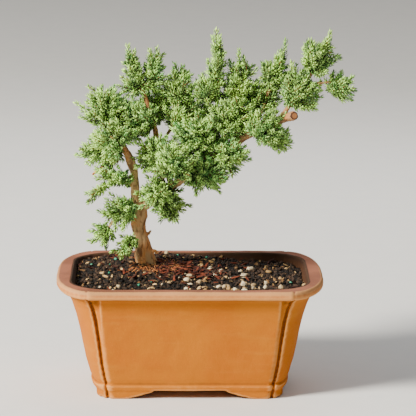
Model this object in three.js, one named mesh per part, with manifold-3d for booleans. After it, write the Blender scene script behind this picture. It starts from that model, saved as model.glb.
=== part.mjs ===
// Miniature juniper bonsai in a rectangular clay pot. Millimetres, +Z up, front towards -Y.
import * as THREE from "three";
import { mergeVertices } from "three/addons/utils/BufferGeometryUtils.js";
import Module from "manifold-3d";

const wasm = await Module();
wasm.setup();

const gap = 0.35;                // air left between neighbouring pieces
const footHeight = 7;            // underside of the floor above the table
const floorTop = 13.5;           // upper side of the pot's floor
const wallTop = 83;              // where the wall runs into the rim
const rim = { halfX: 101.5, halfY: 76, top: 88, thick: 6.5, bevel: 1.3 };
const rimNotch = {
  inset: 23, depth: 3.6, width: 3, lobeBack: 0.6, frontRadius: 2, lobeWide: 27, lobeDeep: 60,
};
const groove = {
  inset: 17.3, depth: 6.6, width: 6.2, lobeBack: 2.4, frontRadius: 4, lobeWide: 18, lobeDeep: 44,
};
const steeper = { shift: 3.7, upTo: 78 };  // how far outwards the grooves stand at the foot, up to what height
const flute = { low: [58.6, -53.6, 4, 1.4], high: [73.6, -71.2, 84, 5.8], sides: 12 };
// [height, half width, half depth] of the outer wall, from the base moulding up to the rim
const wallLevels = [[7, 74.6, 53], [10.6, 75.5, 53.9], [11.6, 74.4, 52.8], [16, 76.2, 54.4], [28, 79.4, 57.4],
  [46, 83, 60.8], [62, 86.5, 64], [72, 89.6, 66.6], [78, 92.4, 68.8], [wallTop, 96.4, 72]];
const hollowLevels = [[floorTop, 68.5, 47], [26, 72.5, 50.5], [50, 77.4, 55.3], [70, 82.8, 60],
  [80, 86.4, 63.4], [90, 89.8, 66.2]];
const hollowCorner = 24;
const drain = { x: 34, radius: 11, sides: 20 };
const screen = { cells: 5, hole: 3.6, strand: 1.6, thick: 1 };
const soil = { level: 80.5, moundX: -32, moundY: 22, moundHeight: 10, moundSpread: 30, backRise: 3 };
const foot = { bottomOut: 64.5, bottomIn: 48, bottomSide: 43.5, thick: 9 };

// Manifold helpers.
function toSolid(geometry) {
  const bare = geometry.clone();
  bare.deleteAttribute("normal");
  bare.deleteAttribute("uv");
  const merged = mergeVertices(bare, 1e-4);
  return new wasm.Manifold(new wasm.Mesh({
    numProp: 3,
    vertProperties: new Float32Array(merged.attributes.position.array),
    triVerts: new Uint32Array(merged.index.array),
  }));
}

function joined(solids) {
  return solids.reduce((whole, solid) => whole.add(solid));
}

function largestBody(solid, blur = 0.02) {
  const bodies = solid.simplify(blur).decompose();
  return bodies.reduce((best, body) => (body.volume() > best.volume() ? body : best));
}

function toGeometry(solid) {
  const mesh = solid.getMesh();
  const geometry = new THREE.BufferGeometry();
  const points = new Float32Array(mesh.numVert * 3);
  for (let i = 0; i < mesh.numVert; i++) {
    for (let k = 0; k < 3; k++) points[i * 3 + k] = mesh.vertProperties[i * mesh.numProp + k];
  }
  geometry.setAttribute("position", new THREE.BufferAttribute(points, 3));
  geometry.setIndex(Array.from(mesh.triVerts));
  return geometry;
}

function random(seed) {
  const value = Math.sin(seed * 127.1 + 311.7) * 43758.5453;
  return value - Math.floor(value);
}

const vec = (p) => new THREE.Vector3(p[0], p[1], p[2]);

// Pot.
// Plan of the pot: straight front and back, a narrow groove near each corner and a rounded lobe at each end.
function potOutline(halfX, halfY, cut) {
  const quarter = new THREE.Path();
  quarter.moveTo(0, -halfY);
  const edge = halfX - cut.inset - cut.width;
  quarter.absarc(edge, -halfY + cut.frontRadius, cut.frontRadius, -Math.PI / 2, 0.1);
  quarter.lineTo(halfX - cut.inset, -halfY + cut.depth);
  const lobeX = halfX - cut.lobeWide;
  const lobeY = -halfY + cut.lobeBack + cut.lobeDeep;
  const start = -Math.acos((cut.lobeWide - cut.inset + 0.9) / cut.lobeWide);
  quarter.absellipse(lobeX, lobeY, cut.lobeWide, cut.lobeDeep, start, 0);
  const right = quarter.getPoints(5);
  const lower = [...right, ...right.slice(1).reverse().map((p) => new THREE.Vector2(p.x, -p.y))];
  const all = [...lower, ...lower.slice(0, -1).reverse().map((p) => new THREE.Vector2(-p.x, p.y))];
  return new THREE.Shape(all.filter((p, i) => i === 0 || p.distanceTo(all[i - 1]) > 0.05));
}

function roundedRectangle(halfX, halfY, radius, segments) {
  const shape = new THREE.Shape();
  const corners = [[1, -1, -90], [1, 1, 0], [-1, 1, 90], [-1, -1, 180]];
  const points = [];
  for (const [sx, sy, start] of corners) {
    for (let i = 0; i <= segments; i++) {
      const turn = THREE.MathUtils.degToRad(start + (90 * i) / segments);
      const x = sx * (halfX - radius) + radius * Math.cos(turn);
      points.push(new THREE.Vector2(x, sy * (halfY - radius) + radius * Math.sin(turn)));
    }
  }
  return shape.setFromPoints(points);
}

// A prism of the plan whose rings follow the given [height, half width, half depth] levels.
function taperedPrism(shape, halfX, halfY, levels) {
  const steps = levels.length - 1;
  const geometry = new THREE.ExtrudeGeometry(shape, { depth: steps, steps, bevelEnabled: false });
  const position = geometry.attributes.position;
  for (let i = 0; i < position.count; i++) {
    const [height, wide, deep] = levels[Math.round(position.getZ(i))];
    position.setXYZ(i, (position.getX(i) * wide) / halfX, (position.getY(i) * deep) / halfY, height);
  }
  return toSolid(geometry);
}

function rimSolid() {
  const shape = potOutline(rim.halfX - rim.bevel, rim.halfY - rim.bevel, rimNotch);
  const geometry = new THREE.ExtrudeGeometry(shape, {
    depth: rim.thick - 2 * rim.bevel, bevelEnabled: true, bevelSize: rim.bevel, bevelThickness: rim.bevel,
    bevelSegments: 1,
  });
  geometry.translate(0, 0, rim.top - rim.thick + rim.bevel);
  return toSolid(geometry);
}

// Cloud-shaped foot profile: flat where it stands, then two small swells up to the arch.
function footProfile(out, bottomOut, bottomIn) {
  const top = footHeight + 3;
  const shape = new THREE.Shape();
  shape.moveTo(out + 2, top);
  shape.lineTo(out, 6.2);
  shape.quadraticCurveTo(out + 0.4, 3.6, out - 2.4, 3);
  shape.quadraticCurveTo(bottomOut + 0.6, 0.4, bottomOut, 0);
  shape.lineTo(bottomIn, 0);
  shape.quadraticCurveTo(bottomIn - 3, 0.2, bottomIn - 6, 1.6);
  shape.quadraticCurveTo(bottomIn - 10, 2.2, bottomIn - 14, 3.8);
  shape.quadraticCurveTo(bottomIn - 19, 4.6, bottomIn - 21, footHeight - 0.3);
  shape.lineTo(bottomIn - 21, top);
  return shape;
}

function footStrip(profile, start, length) {
  const geometry = new THREE.ExtrudeGeometry(profile, { depth: length, bevelEnabled: false, curveSegments: 3 });
  geometry.rotateX(Math.PI / 2);
  geometry.translate(0, start, 0);
  return geometry;
}

function feetSolid(prism) {
  const frontProfile = footProfile(71, foot.bottomOut, foot.bottomIn);
  const sideProfile = footProfile(50.5, foot.bottomSide, foot.bottomSide - 13);
  const strips = [];
  for (const side of [-1, 1]) {
    const front = footStrip(frontProfile, -53 + foot.thick, foot.thick);
    const flank = footStrip(sideProfile, 0, foot.thick);
    flank.rotateZ(-Math.PI / 2);
    flank.translate(70.5, 0, 0);
    const pair = toSolid(front).add(toSolid(flank));
    strips.push(side > 0 ? pair : pair.mirror([1, 0, 0]));
  }
  const near = joined(strips);
  return near.add(near.mirror([0, 1, 0])).intersect(prism);
}

// The groove opens upwards into a flute: a cone laid into the wall beside each front and back panel.
function flutesSolid() {
  const [low, high] = [flute.low, flute.high];
  const axis = vec(high).sub(vec(low));
  const cone = new THREE.CylinderGeometry(high[3], low[3], axis.length(), flute.sides);
  const up = new THREE.Vector3(0, 1, 0);
  cone.applyQuaternion(new THREE.Quaternion().setFromUnitVectors(up, axis.normalize()));
  cone.translate((low[0] + high[0]) / 2, (low[1] + high[1]) / 2, (low[2] + high[2]) / 2);
  const front = toSolid(cone).add(toSolid(cone).mirror([1, 0, 0]));
  return front.add(front.mirror([0, 1, 0]));
}

function wallHalfX(height) {
  const next = Math.max(1, wallLevels.findIndex((level) => level[0] >= height));
  const [low, high] = [wallLevels[next - 1], wallLevels[next]];
  const part = THREE.MathUtils.clamp((height - low[0]) / (high[0] - low[0]), 0, 1);
  return THREE.MathUtils.lerp(low[1], high[1], part);
}

// The grooves stand steeper than the sloping ends of the pot, so the lobes narrow towards the feet.
function withSteepGrooves(solid) {
  const middle = (92 - groove.inset - groove.width / 2) / 92;
  return solid.warp((point) => {
    const shift = steeper.shift * Math.max(0, 1 - point[2] / steeper.upTo);
    const half = wallHalfX(Math.min(point[2], wallTop));
    const line = half * middle;
    const away = Math.abs(point[0]);
    const beyond = half - (half - away) * (1 - shift / (half - line));
    point[0] = Math.sign(point[0]) * (away < line ? away * (1 + shift / line) : beyond);
  });
}

function potSolid() {
  const outline = potOutline(92, 67, groove);
  const walls = withSteepGrooves(taperedPrism(outline, 92, 67, wallLevels).subtract(flutesSolid()));
  const basePrism = withSteepGrooves(taperedPrism(outline, 92, 67, [[-1, 72, 50.6], [11, 75, 53.4]]));
  const holes = [-drain.x, drain.x].map((x) => {
    const hole = new THREE.CylinderGeometry(drain.radius, drain.radius, 20, drain.sides);
    hole.rotateX(Math.PI / 2);
    hole.translate(x, 0, 10);
    return toSolid(hole);
  });
  const hollow = taperedPrism(roundedRectangle(70, 50, hollowCorner, 5), 70, 50, hollowLevels);
  const clay = joined([walls, rimSolid(), feetSolid(basePrism)]).subtract(hollow);
  return largestBody(clay.subtract(joined(holes)));
}

// A square of plastic mesh; with grow it is the plain space the square needs.
function screenSolid(x, grow) {
  const pitch = screen.hole + screen.strand;
  const side = screen.cells * pitch + screen.strand + 2 * grow;
  const plate = new THREE.BoxGeometry(side, side, screen.thick + 2 * grow);
  plate.translate(x, 0, floorTop + gap + screen.thick / 2);
  if (grow > 0) return toSolid(plate);
  const cells = [];
  for (let i = 0; i < screen.cells * screen.cells; i++) {
    const cell = new THREE.BoxGeometry(screen.hole, screen.hole, 3 * screen.thick);
    const row = Math.floor(i / screen.cells) - (screen.cells - 1) / 2;
    cell.translate(x + ((i % screen.cells) - (screen.cells - 1) / 2) * pitch, row * pitch, floorTop + 1);
    cells.push(toSolid(cell));
  }
  return toSolid(plate).subtract(joined(cells));
}

// Wood.
// A tapering, slightly knotted tube through the points; each point is [x, y, z, radius].
function woodSolid(points, grow = 0, sides = 7, steps = 10) {
  const curve = new THREE.CatmullRomCurve3(points.map(vec), false, "centripetal");
  const circle = new THREE.Shape(Array.from({ length: sides }, (_, i) => {
    const turn = (i / sides) * 2 * Math.PI;
    return new THREE.Vector2(Math.cos(turn), Math.sin(turn));
  }));
  const geometry = new THREE.ExtrudeGeometry(circle, { steps, bevelEnabled: false, extrudePath: curve });
  const centres = curve.getSpacedPoints(steps);
  const tangents = centres.map((_, k) => curve.getTangentAt(k / steps));
  const position = geometry.attributes.position;
  const point = new THREE.Vector3();
  for (let i = 0; i < position.count; i++) {
    point.fromBufferAttribute(position, i);
    const miss = centres.map((c, k) => {
      const offset = point.clone().sub(c);
      return Math.abs(offset.dot(tangents[k])) + Math.abs(offset.length() - 1);
    });
    const ring = miss.indexOf(Math.min(...miss));
    const offset = point.clone().sub(centres[ring]);
    const knot = 1 + 0.07 * Math.sin(offset.x * 5 + offset.y * 9 + offset.z * 4 + ring * 1.7);
    offset.multiplyScalar(radiusAt(points, ring / steps) * knot + grow);
    position.setXYZ(i, ...offset.add(centres[ring]).toArray());
  }
  return toSolid(geometry);
}

// Radius along the length of the run of points.
function radiusAt(points, t) {
  const lengths = [0];
  for (let i = 1; i < points.length; i++) {
    lengths.push(lengths[i - 1] + vec(points[i]).distanceTo(vec(points[i - 1])));
  }
  const along = t * lengths[lengths.length - 1];
  let k = 1;
  while (k < lengths.length - 1 && lengths[k] < along) k++;
  const part = (along - lengths[k - 1]) / (lengths[k] - lengths[k - 1]);
  return points[k - 1][3] + (points[k][3] - points[k - 1][3]) * part;
}

function ball(p, radius) {
  const geometry = new THREE.SphereGeometry(radius, 6, 4);
  geometry.translate(p[0], p[1], p[2]);
  return toSolid(geometry);
}

// The space a piece of wood needs, with air round it and past both of its ends.
function woodRoom(points, sides, steps) {
  const ends = [points[0], points[points.length - 1]];
  const tube = woodSolid(points, gap + 0.15, sides, steps);
  return joined([tube, ...ends.map((p) => ball(p, p[3] * 1.07 + gap + 0.4))]);
}

const trunkPath = [[-29, 24, 66, 9], [-31.6, 23, 82, 9.8], [-33.6, 22, 91, 8.4], [-35, 21, 98, 6.9],
  [-36.8, 20, 106, 5.8], [-38.3, 19, 114, 5.3], [-39.6, 17.5, 122, 5.6], [-38.4, 16, 129, 5.9],
  [-38.6, 14, 136, 4.9], [-41.8, 12, 145, 3.5], [-42.2, 10, 156, 3.1], [-42.8, 8, 165, 3], [-45.7, 7, 173, 3.2],
  [-49.5, 6, 181, 2.7], [-54, 5, 188, 2]];

// Broken stubs on the trunk and the flare of its base belong to the trunk.
const trunkStubs = [[[-36, 20, 111, 1.6], [-31, 19, 113.5, 1.1], [-30, 18.6, 115.5, 0.8]],
  [[-33, 20.5, 98, 2.2], [-26.5, 19, 99.5, 1.3], [-24, 18.4, 97.5, 0.9]],
  [[-32, 21, 88, 6], [-24, 19, 83, 4], [-18, 17, 78, 2.4]],
  [[-33, 20, 88, 5.6], [-40, 15, 83, 3.6], [-45, 12, 78, 2.2]]];

// Every other piece of wood: [x, y, z, radius] from its root to its tip.
const woodPaths = {
  limb_right: [[-38, 15, 133, 3.6], [-27, 9, 142, 3.4], [-12, 4, 154, 3.3], [8, 0, 170, 3.1], [28, -4, 184, 3],
    [46, -7, 196, 3], [60, -9, 203, 3.2], [69, -12, 207.5, 3.4], [75, -17, 210.5, 3.4], [77.5, -24, 212, 3.3]],
  leader: [[-14, 5, 154, 2.2], [-18, 8, 165, 2.1], [-24, 9, 179, 2], [-25, 8, 190, 2], [-30, 7, 208, 1.8],
    [-35, 6, 224, 1.3], [-40, 5, 238, 0.9]],
  branch_left: [[-52, 5, 186, 1.6], [-60, 5, 194, 1.4], [-68, 5, 205, 1.1], [-74, 4, 216, 0.8]],
  branch_sprig: [[-42, 10, 151, 1], [-54, 4, 157, 0.9], [-63, 1, 155, 0.8], [-72, -2, 149, 0.6]],
  branch_low: [[-41, 15, 131, 1.8], [-48, 10, 136, 1.5], [-56, 4, 130, 1.2], [-62, 1, 121, 0.9]],
  dead_twig: [[-55, 4, 172, 0.9], [-66, 0, 169, 0.9], [-74, -3, 163, 0.8]],
  branch_apex: [[-24, 8, 182, 1.4], [-13, 10, 200, 1.2], [-8, 11, 218, 1], [-7, 12, 232, 0.8]],
  branch_spire: [[10, 0, 172, 1.6], [16, 5, 194, 1.4], [20, 6, 216, 1.2], [21, 5, 240, 0.9]],
  branch_upper_right: [[30, -3, 187, 1.5], [37, 6, 206, 1.3], [40, 9, 224, 1]],
  branch_sprigs: [[48, -6, 199, 1.4], [56, 4, 216, 1.2], [63, 5, 236, 0.9]],
  branch_far: [[68, -10, 208, 1.9], [76, -7, 219, 1.7], [86, -6, 232, 1.5], [94, -5, 248, 1.1]],
  branch_tip: [[85, -6, 230, 1.3], [98, -6, 234, 1.1], [110, -8, 236, 0.9]],
  branch_back: [[-27, 9, 147, 1.9], [-14, 24, 168, 1.5], [0, 36, 192, 1.1]],
  branch_front: [[-10, 3, 156, 1.6], [-10, -14, 164, 1.3], [-12, -28, 170, 1]],
};

const rootPaths = {
  root_right: [[-27, 18, 88, 2.2], [-18, 14, 85.2, 1.7], [-8, 12, 82.6, 1.2], [2, 7, 79.5, 0.9]],
  root_front: [[-33, 13, 89, 2], [-29, 4, 86.2, 1.6], [-27, -7, 83, 1.2], [-24, -16, 79.2, 0.8]],
};

// Foliage.
// Each pad: centre, half sizes, number of shoots in its fan and the long shoots that stand out of it.
const foliage = {
  foliage_left_upper: { at: [-63, 6, 213], size: [16, 15, 16], fan: 5,
    shoots: [[-87, 2, 216], [-80, 4, 233], [-70, 8, 234], [-85, -2, 207]] },
  foliage_left_middle: { at: [-67, 2, 182], size: [16, 16, 13], fan: 6,
    shoots: [[-79, 0, 193], [-82, -2, 180]] },
  foliage_left_lower: { at: [-60, -3, 163], size: [14, 9, 6], fan: 3,
    shoots: [[-41, -4, 156], [-40, -6, 160], [-74, -4, 162]] },
  foliage_left_sprig: { at: [-69, -1, 152], size: [6, 4, 4], fan: 0,
    shoots: [[-62, 1, 158], [-80, -4, 144.5]] },
  foliage_low_left: { at: [-55, 4, 134], size: [13, 12, 11], fan: 5,
    shoots: [[-66, 0, 138], [-59, -2, 144], [-64, -4, 125], [-53, -6, 117], [-37, 0, 139], [-43, -4, 142]] },
  foliage_low_left_tip: { at: [-66, -2, 117], size: [7, 7, 7], fan: 2,
    shoots: [[-77, -6, 123], [-74, -5, 109], [-63, -6, 107]] },
  foliage_drooping: { at: [-48, 0, 108], size: [7, 7, 9], fan: 2, shoots: [[-50, -4, 97.5], [-54, -5, 103]] },
  foliage_top_left: { at: [-42, 6, 234], size: [12, 10, 13], fan: 4,
    shoots: [[-47, 2, 264], [-50, 6, 250], [-40, 0, 258]] },
  foliage_top_inner: { at: [-27, 10, 238], size: [8, 9, 13], fan: 2, shoots: [[-31, 6, 262], [-26, 8, 264]] },
  foliage_centre_left: { at: [-41, 4, 205], size: [14, 13, 15], fan: 5, shoots: [[-50, -8, 214]] },
  foliage_centre_top: { at: [-8, 12, 229], size: [13, 13, 12], fan: 4,
    shoots: [[-12, 10, 250], [-4, 10, 250], [-17, 8, 240]] },
  foliage_centre_upper: { at: [-4, 14, 207], size: [16, 15, 13], fan: 5, shoots: [] },
  foliage_centre: { at: [-24, -6, 178], size: [17, 15, 16], fan: 6,
    shoots: [[-39, -14, 191], [-43, -10, 183], [-31, -14, 197]] },
  foliage_centre_right: { at: [6, -5, 193], size: [20, 15, 16], fan: 6,
    shoots: [[0, -20, 204], [14, -20, 186]] },
  foliage_low_centre: { at: [-23, -6, 150], size: [16, 14, 12], fan: 6,
    shoots: [[-38, -8, 146], [-3, -8, 143]] },
  foliage_low_tip: { at: [-17, 0, 137], size: [12, 9, 6], fan: 3,
    shoots: [[-23, -2, 127], [-9, -6, 126], [-8, -2, 133], [0, 0, 140]] },
  foliage_low_right: { at: [12, -12, 166], size: [19, 13, 13], fan: 6,
    shoots: [[22, -12, 152], [4, -10, 148], [32, -12, 166]] },
  foliage_spire: { at: [20, 6, 243], size: [7, 7, 16], fan: 3, shoots: [[20.5, 4, 275], [24, 6, 255]] },
  foliage_upper_right: { at: [38, 9, 229], size: [14, 13, 14], fan: 5,
    shoots: [[39, 6, 260], [47, 8, 246], [31, 4, 253]] },
  foliage_right: { at: [31, -4, 208], size: [20, 15, 15], fan: 6, shoots: [[26, -20, 216], [42, -18, 204]] },
  foliage_right_edge: { at: [31, -14, 181], size: [11, 12, 14], fan: 4,
    shoots: [[35, -16, 166], [41, -16, 183], [43, -14, 190]] },
  foliage_right_back: { at: [54, 12, 222], size: [16, 13, 14], fan: 5, shoots: [] },
  foliage_right_sprigs: { at: [64, 4, 240], size: [11, 11, 12], fan: 4,
    shoots: [[53, 4, 249], [73, 0, 264], [66, 0, 256]] },
  foliage_right_lower: { at: [57, -18, 203], size: [14, 12, 13], fan: 5,
    shoots: [[60, -18, 188], [48, -20, 190], [73, -16, 218]] },
  foliage_hanging: { at: [68, -8, 190], size: [8, 8, 7], fan: 3,
    shoots: [[66, -10, 180], [79, -8, 194], [76, -8, 184]] },
  foliage_far_right: { at: [83, -7, 229], size: [15, 14, 16], fan: 6,
    shoots: [[98, -8, 217], [78, -8, 256], [72, -14, 216]] },
  foliage_crown_right: { at: [96, -4, 253], size: [13, 12, 14], fan: 5,
    shoots: [[92, -4, 272], [104, -4, 274], [109, -2, 264], [87, -6, 262]] },
  foliage_far_tip: { at: [112, -8, 234], size: [10, 9, 8], fan: 3,
    shoots: [[126, -8, 225], [122, -10, 235], [110, -8, 245], [123, -8, 219.5]] },
  foliage_centre_ridge: { at: [14, 7, 229], size: [14, 12, 10], fan: 5, shoots: [] },
  foliage_back_apex: { at: [-24, 24, 214], size: [14, 12, 13], fan: 5, shoots: [] },
  foliage_back_left: { at: [-46, 34, 200], size: [18, 14, 16], fan: 5, shoots: [] },
  foliage_back_centre: { at: [6, 38, 198], size: [20, 15, 18], fan: 6, shoots: [] },
  foliage_front_left: { at: [-59, -20, 194], size: [13, 11, 12], fan: 5,
    shoots: [[-44, -18, 198], [-40, -16, 190], [-48, -18, 206], [-38, -14, 195]] },
  foliage_front_centre: { at: [-12, -30, 178], size: [15, 12, 13], fan: 5, shoots: [] },
};
const shootRadius = 3.6;
const shootRing = { sides: 4, rings: 3 };

// One shoot: a slim closed spindle from its root to its tip.
function shootSolid(from, to, radius) {
  const axis = vec(to).sub(vec(from));
  const length = axis.length();
  const geometry = new THREE.SphereGeometry(1, shootRing.sides, shootRing.rings);
  geometry.scale(radius, length / 2, radius);
  const turn = new THREE.Quaternion().setFromUnitVectors(new THREE.Vector3(0, 1, 0), axis.normalize());
  geometry.applyQuaternion(turn);
  geometry.translate((from[0] + to[0]) / 2, (from[1] + to[1]) / 2, (from[2] + to[2]) / 2);
  return toSolid(geometry);
}

// A pad is a rounded heart with a fan of shoots spread evenly over it and its own long shoots.
function padSolid(pad, seed, grow) {
  const core = new THREE.SphereGeometry(1, 7, 5);
  core.scale(...pad.size.map((s) => s + grow));
  core.translate(...pad.at);
  const solids = [toSolid(core)];
  for (let i = 0; i < pad.fan; i++) {
    const lift = 1 - (2 * i + 1) / pad.fan;
    const turn = 2.4 * i + seed;
    const flat = Math.sqrt(1 - lift * lift);
    const out = [Math.cos(turn) * flat, Math.sin(turn) * flat, lift];
    const reach = 1.2 + 0.14 * random(seed * 31 + i);
    const tip = pad.at.map((c, k) => c + out[k] * (pad.size[k] * reach + grow));
    const root = pad.at.map((c, k) => c + out[k] * pad.size[k] * 0.3);
    solids.push(shootSolid(root, tip, shootRadius * 1.3 + grow));
  }
  for (const tip of pad.shoots) {
    const away = vec(tip).sub(vec(pad.at)).normalize();
    const root = pad.at.map((c, k) => c + away.toArray()[k] * 2);
    const end = vec(tip).addScaledVector(away, grow).toArray();
    solids.push(shootSolid(root, end, shootRadius + grow));
  }
  return joined(solids);
}

// Soil and what lies in it.
function soilHeight(x, y) {
  const away = ((x - soil.moundX) ** 2 + (y - soil.moundY) ** 2) / (2 * soil.moundSpread ** 2);
  const back = soil.backRise * Math.max(0, y - 15) / 45;
  const bumps = 0.5 * Math.sin(x * 0.31 + y * 0.17) * Math.cos(y * 0.29 - x * 0.11);
  const raised = Math.min(back, 3) * (x < 40 ? 1 : 0.3);
  return soil.level + (soil.moundHeight - 1) * Math.exp(-away) + raised + bumps;
}

function soilSolid() {
  const inner = hollowLevels.map(([z, x, y], i) => [i === 0 ? z + gap : z, x - gap, y - gap]);
  const fill = taperedPrism(roundedRectangle(70, 50, hollowCorner, 5), 70, 50, inner);
  const block = new THREE.BoxGeometry(200, 150, 100, 17, 13, 1);
  const position = block.attributes.position;
  for (let i = 0; i < position.count; i++) {
    const [x, y] = [position.getX(i), position.getY(i)];
    position.setZ(i, position.getZ(i) > 0 ? soilHeight(x, y) : -20);
  }
  return fill.intersect(toSolid(block));
}

// Loose pieces in the surface: [x, y, half sizes]; each sits half sunk in the mix.
const loose = {
  stone_front_left: [-41, -53, 3.4, 2.7, 2.3],
  stone_middle: [-2, -14, 3.2, 3, 2.4],
  stone_front: [5, -57, 2.8, 2.5, 2.1],
  stone_right: [41, -40, 3.1, 2.6, 2.2],
  bark_chip_middle: [10, 6, 7, 2.2, 1.6],
};

function looseSolid(entry, grow) {
  const [x, y, ...half] = entry;
  const geometry = new THREE.IcosahedronGeometry(1, 1);
  const position = geometry.attributes.position;
  for (let i = 0; i < position.count; i++) {
    const [a, b, c] = [position.getX(i), position.getY(i), position.getZ(i)];
    const lump = 1 + 0.12 * Math.sin(a * 5 + x) * Math.cos(b * 4 + c * 6 + y);
    position.setXYZ(i, a * (half[0] * lump + grow), b * (half[1] * lump + grow), c * (half[2] * lump + grow));
  }
  geometry.rotateZ(x * 0.35);
  geometry.translate(x, y, soilHeight(x, y) + 0.3);
  return toSolid(geometry);
}

// Materials.
const looks = {
  clay: [0xd08a4a, 0.85], soil: [0x2a211c, 0.95], plastic: [0x2c2f30, 0.6], bark: [0x9b6f47, 0.85],
  root: [0xa4643a, 0.85], twig: [0xb0703c, 0.85], stone: [0xe0d2ae, 0.9], chip: [0x7a3f2a, 0.85],
  leafLight: [0x86a95c, 0.6], leafDark: [0x5f8a55, 0.6],
};

const bonsai = new THREE.Group();
const nodes = [];

function place(name, solid, look, blur) {
  nodes.push({ name, solid: largestBody(solid, blur), look });
}

// Build.
function buildAll() {
  place("pot", potSolid(), "clay");
  const screenRooms = [];
  for (const [name, x] of [["drain_screen_left", -drain.x], ["drain_screen_right", drain.x]]) {
    place(name, screenSolid(x, 0), "plastic");
    screenRooms.push(screenSolid(x, gap));
  }
  const trunkTube = (grow) => {
    const stubs = trunkStubs.map((stub) => woodSolid(stub, grow, 6, 3));
    return joined([woodSolid(trunkPath, grow, 9, 20), ...stubs]);
  };
  place("trunk", trunkTube(0), "bark");
  let taken = joined([trunkTube(gap + 0.15), ball(trunkPath[0], trunkPath[0][3] * 1.07 + gap + 0.4)]);
  taken = taken.add(ball(trunkPath[13], trunkPath[13][3] + gap + 0.4));
  for (const [name, path] of Object.entries({ ...rootPaths, ...woodPaths })) {
    const look = name.startsWith("root") ? "root" : name === "dead_twig" ? "twig" : "bark";
    const steps = name === "limb_right" ? 12 : 6;
    place(name, woodSolid(path, 0, 6, steps).subtract(taken), look);
    taken = taken.add(woodRoom(path, 6, steps));
  }
  let bed = soilSolid().subtract(joined(screenRooms)).subtract(taken);
  for (const [name, entry] of Object.entries(loose)) {
    place(name, looseSolid(entry, 0).subtract(taken), name.startsWith("stone") ? "stone" : "chip");
    bed = bed.subtract(looseSolid(entry, gap + 0.1));
  }
  place("soil", bed, "soil");
  Object.entries(foliage).forEach(([name, pad], i) => {
    place(name, padSolid(pad, i + 1, 0).subtract(taken), i % 2 ? "leafDark" : "leafLight", 0.3);
    taken = taken.add(padSolid(pad, i + 1, gap + 0.3));
  });
}

buildAll();

// The origin is on the table, under the middle of the object's bounding box.
const bounds = new THREE.Box3();
nodes.forEach(({ solid }) => {
  const box = solid.boundingBox();
  bounds.expandByPoint(vec(box.min)).expandByPoint(vec(box.max));
});
const middle = bounds.getCenter(new THREE.Vector3());
for (const { name, solid, look } of nodes) {
  const [color, roughness] = looks[look];
  const material = new THREE.MeshStandardMaterial({ color, roughness, metalness: 0 });
  const mesh = new THREE.Mesh(toGeometry(solid).translate(-middle.x, -middle.y, -bounds.min.z), material);
  mesh.name = name;
  bonsai.add(mesh);
}

export default bonsai;
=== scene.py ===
import math

import bpy
import numpy as np
from mathutils import Matrix, Vector, noise
from mathutils.bvhtree import BVHTree


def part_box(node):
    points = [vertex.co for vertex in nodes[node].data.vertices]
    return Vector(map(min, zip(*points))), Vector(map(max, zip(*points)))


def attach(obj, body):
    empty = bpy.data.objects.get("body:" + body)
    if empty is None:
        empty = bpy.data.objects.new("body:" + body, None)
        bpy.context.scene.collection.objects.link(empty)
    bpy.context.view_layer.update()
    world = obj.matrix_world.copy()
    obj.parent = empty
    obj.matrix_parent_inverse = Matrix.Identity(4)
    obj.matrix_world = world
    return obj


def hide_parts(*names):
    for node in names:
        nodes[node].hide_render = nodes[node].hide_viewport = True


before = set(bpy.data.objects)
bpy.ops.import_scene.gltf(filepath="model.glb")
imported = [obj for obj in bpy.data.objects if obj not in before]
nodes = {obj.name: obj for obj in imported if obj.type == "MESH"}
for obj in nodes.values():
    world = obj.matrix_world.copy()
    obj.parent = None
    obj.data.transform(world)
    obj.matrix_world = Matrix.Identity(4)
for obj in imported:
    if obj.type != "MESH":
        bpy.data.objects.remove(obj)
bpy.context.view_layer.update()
mm = 0.001
print("frame loaded:", len(nodes), "nodes")


# Screen colour to the linear one a shader works with.
def srgb(red, green, blue):
    channels = [c / 255 for c in (red, green, blue)]
    return [c / 12.92 if c <= 0.04045 else ((c + 0.055) / 1.055) ** 2.4 for c in channels] + [1.0]


class Flow:  # a shader socket that can be added, multiplied and so on
    def __init__(self, tree, socket):
        self.tree = tree
        self.socket = socket

    def math(self, operation, other=0.0, swap=False):
        node = self.tree.nodes.new("ShaderNodeMath")
        node.operation = operation
        plug(self.tree, node.inputs[1 if swap else 0], self)
        plug(self.tree, node.inputs[0 if swap else 1], other)
        return Flow(self.tree, node.outputs[0])

    def __add__(self, other):
        return self.math("ADD", other)

    def __radd__(self, other):
        return self.math("ADD", other)

    def __sub__(self, other):
        return self.math("SUBTRACT", other)

    def __rsub__(self, other):
        return self.math("SUBTRACT", other, swap=True)

    def __mul__(self, other):
        return self.math("MULTIPLY", other)

    def __rmul__(self, other):
        return self.math("MULTIPLY", other)

    def __pow__(self, other):
        return self.math("POWER", other)

    def __rpow__(self, other):
        return self.math("POWER", other, swap=True)


def plug(tree, socket, value):
    if isinstance(value, Flow):
        tree.links.new(value.socket, socket)
    else:
        socket.default_value = value


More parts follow.
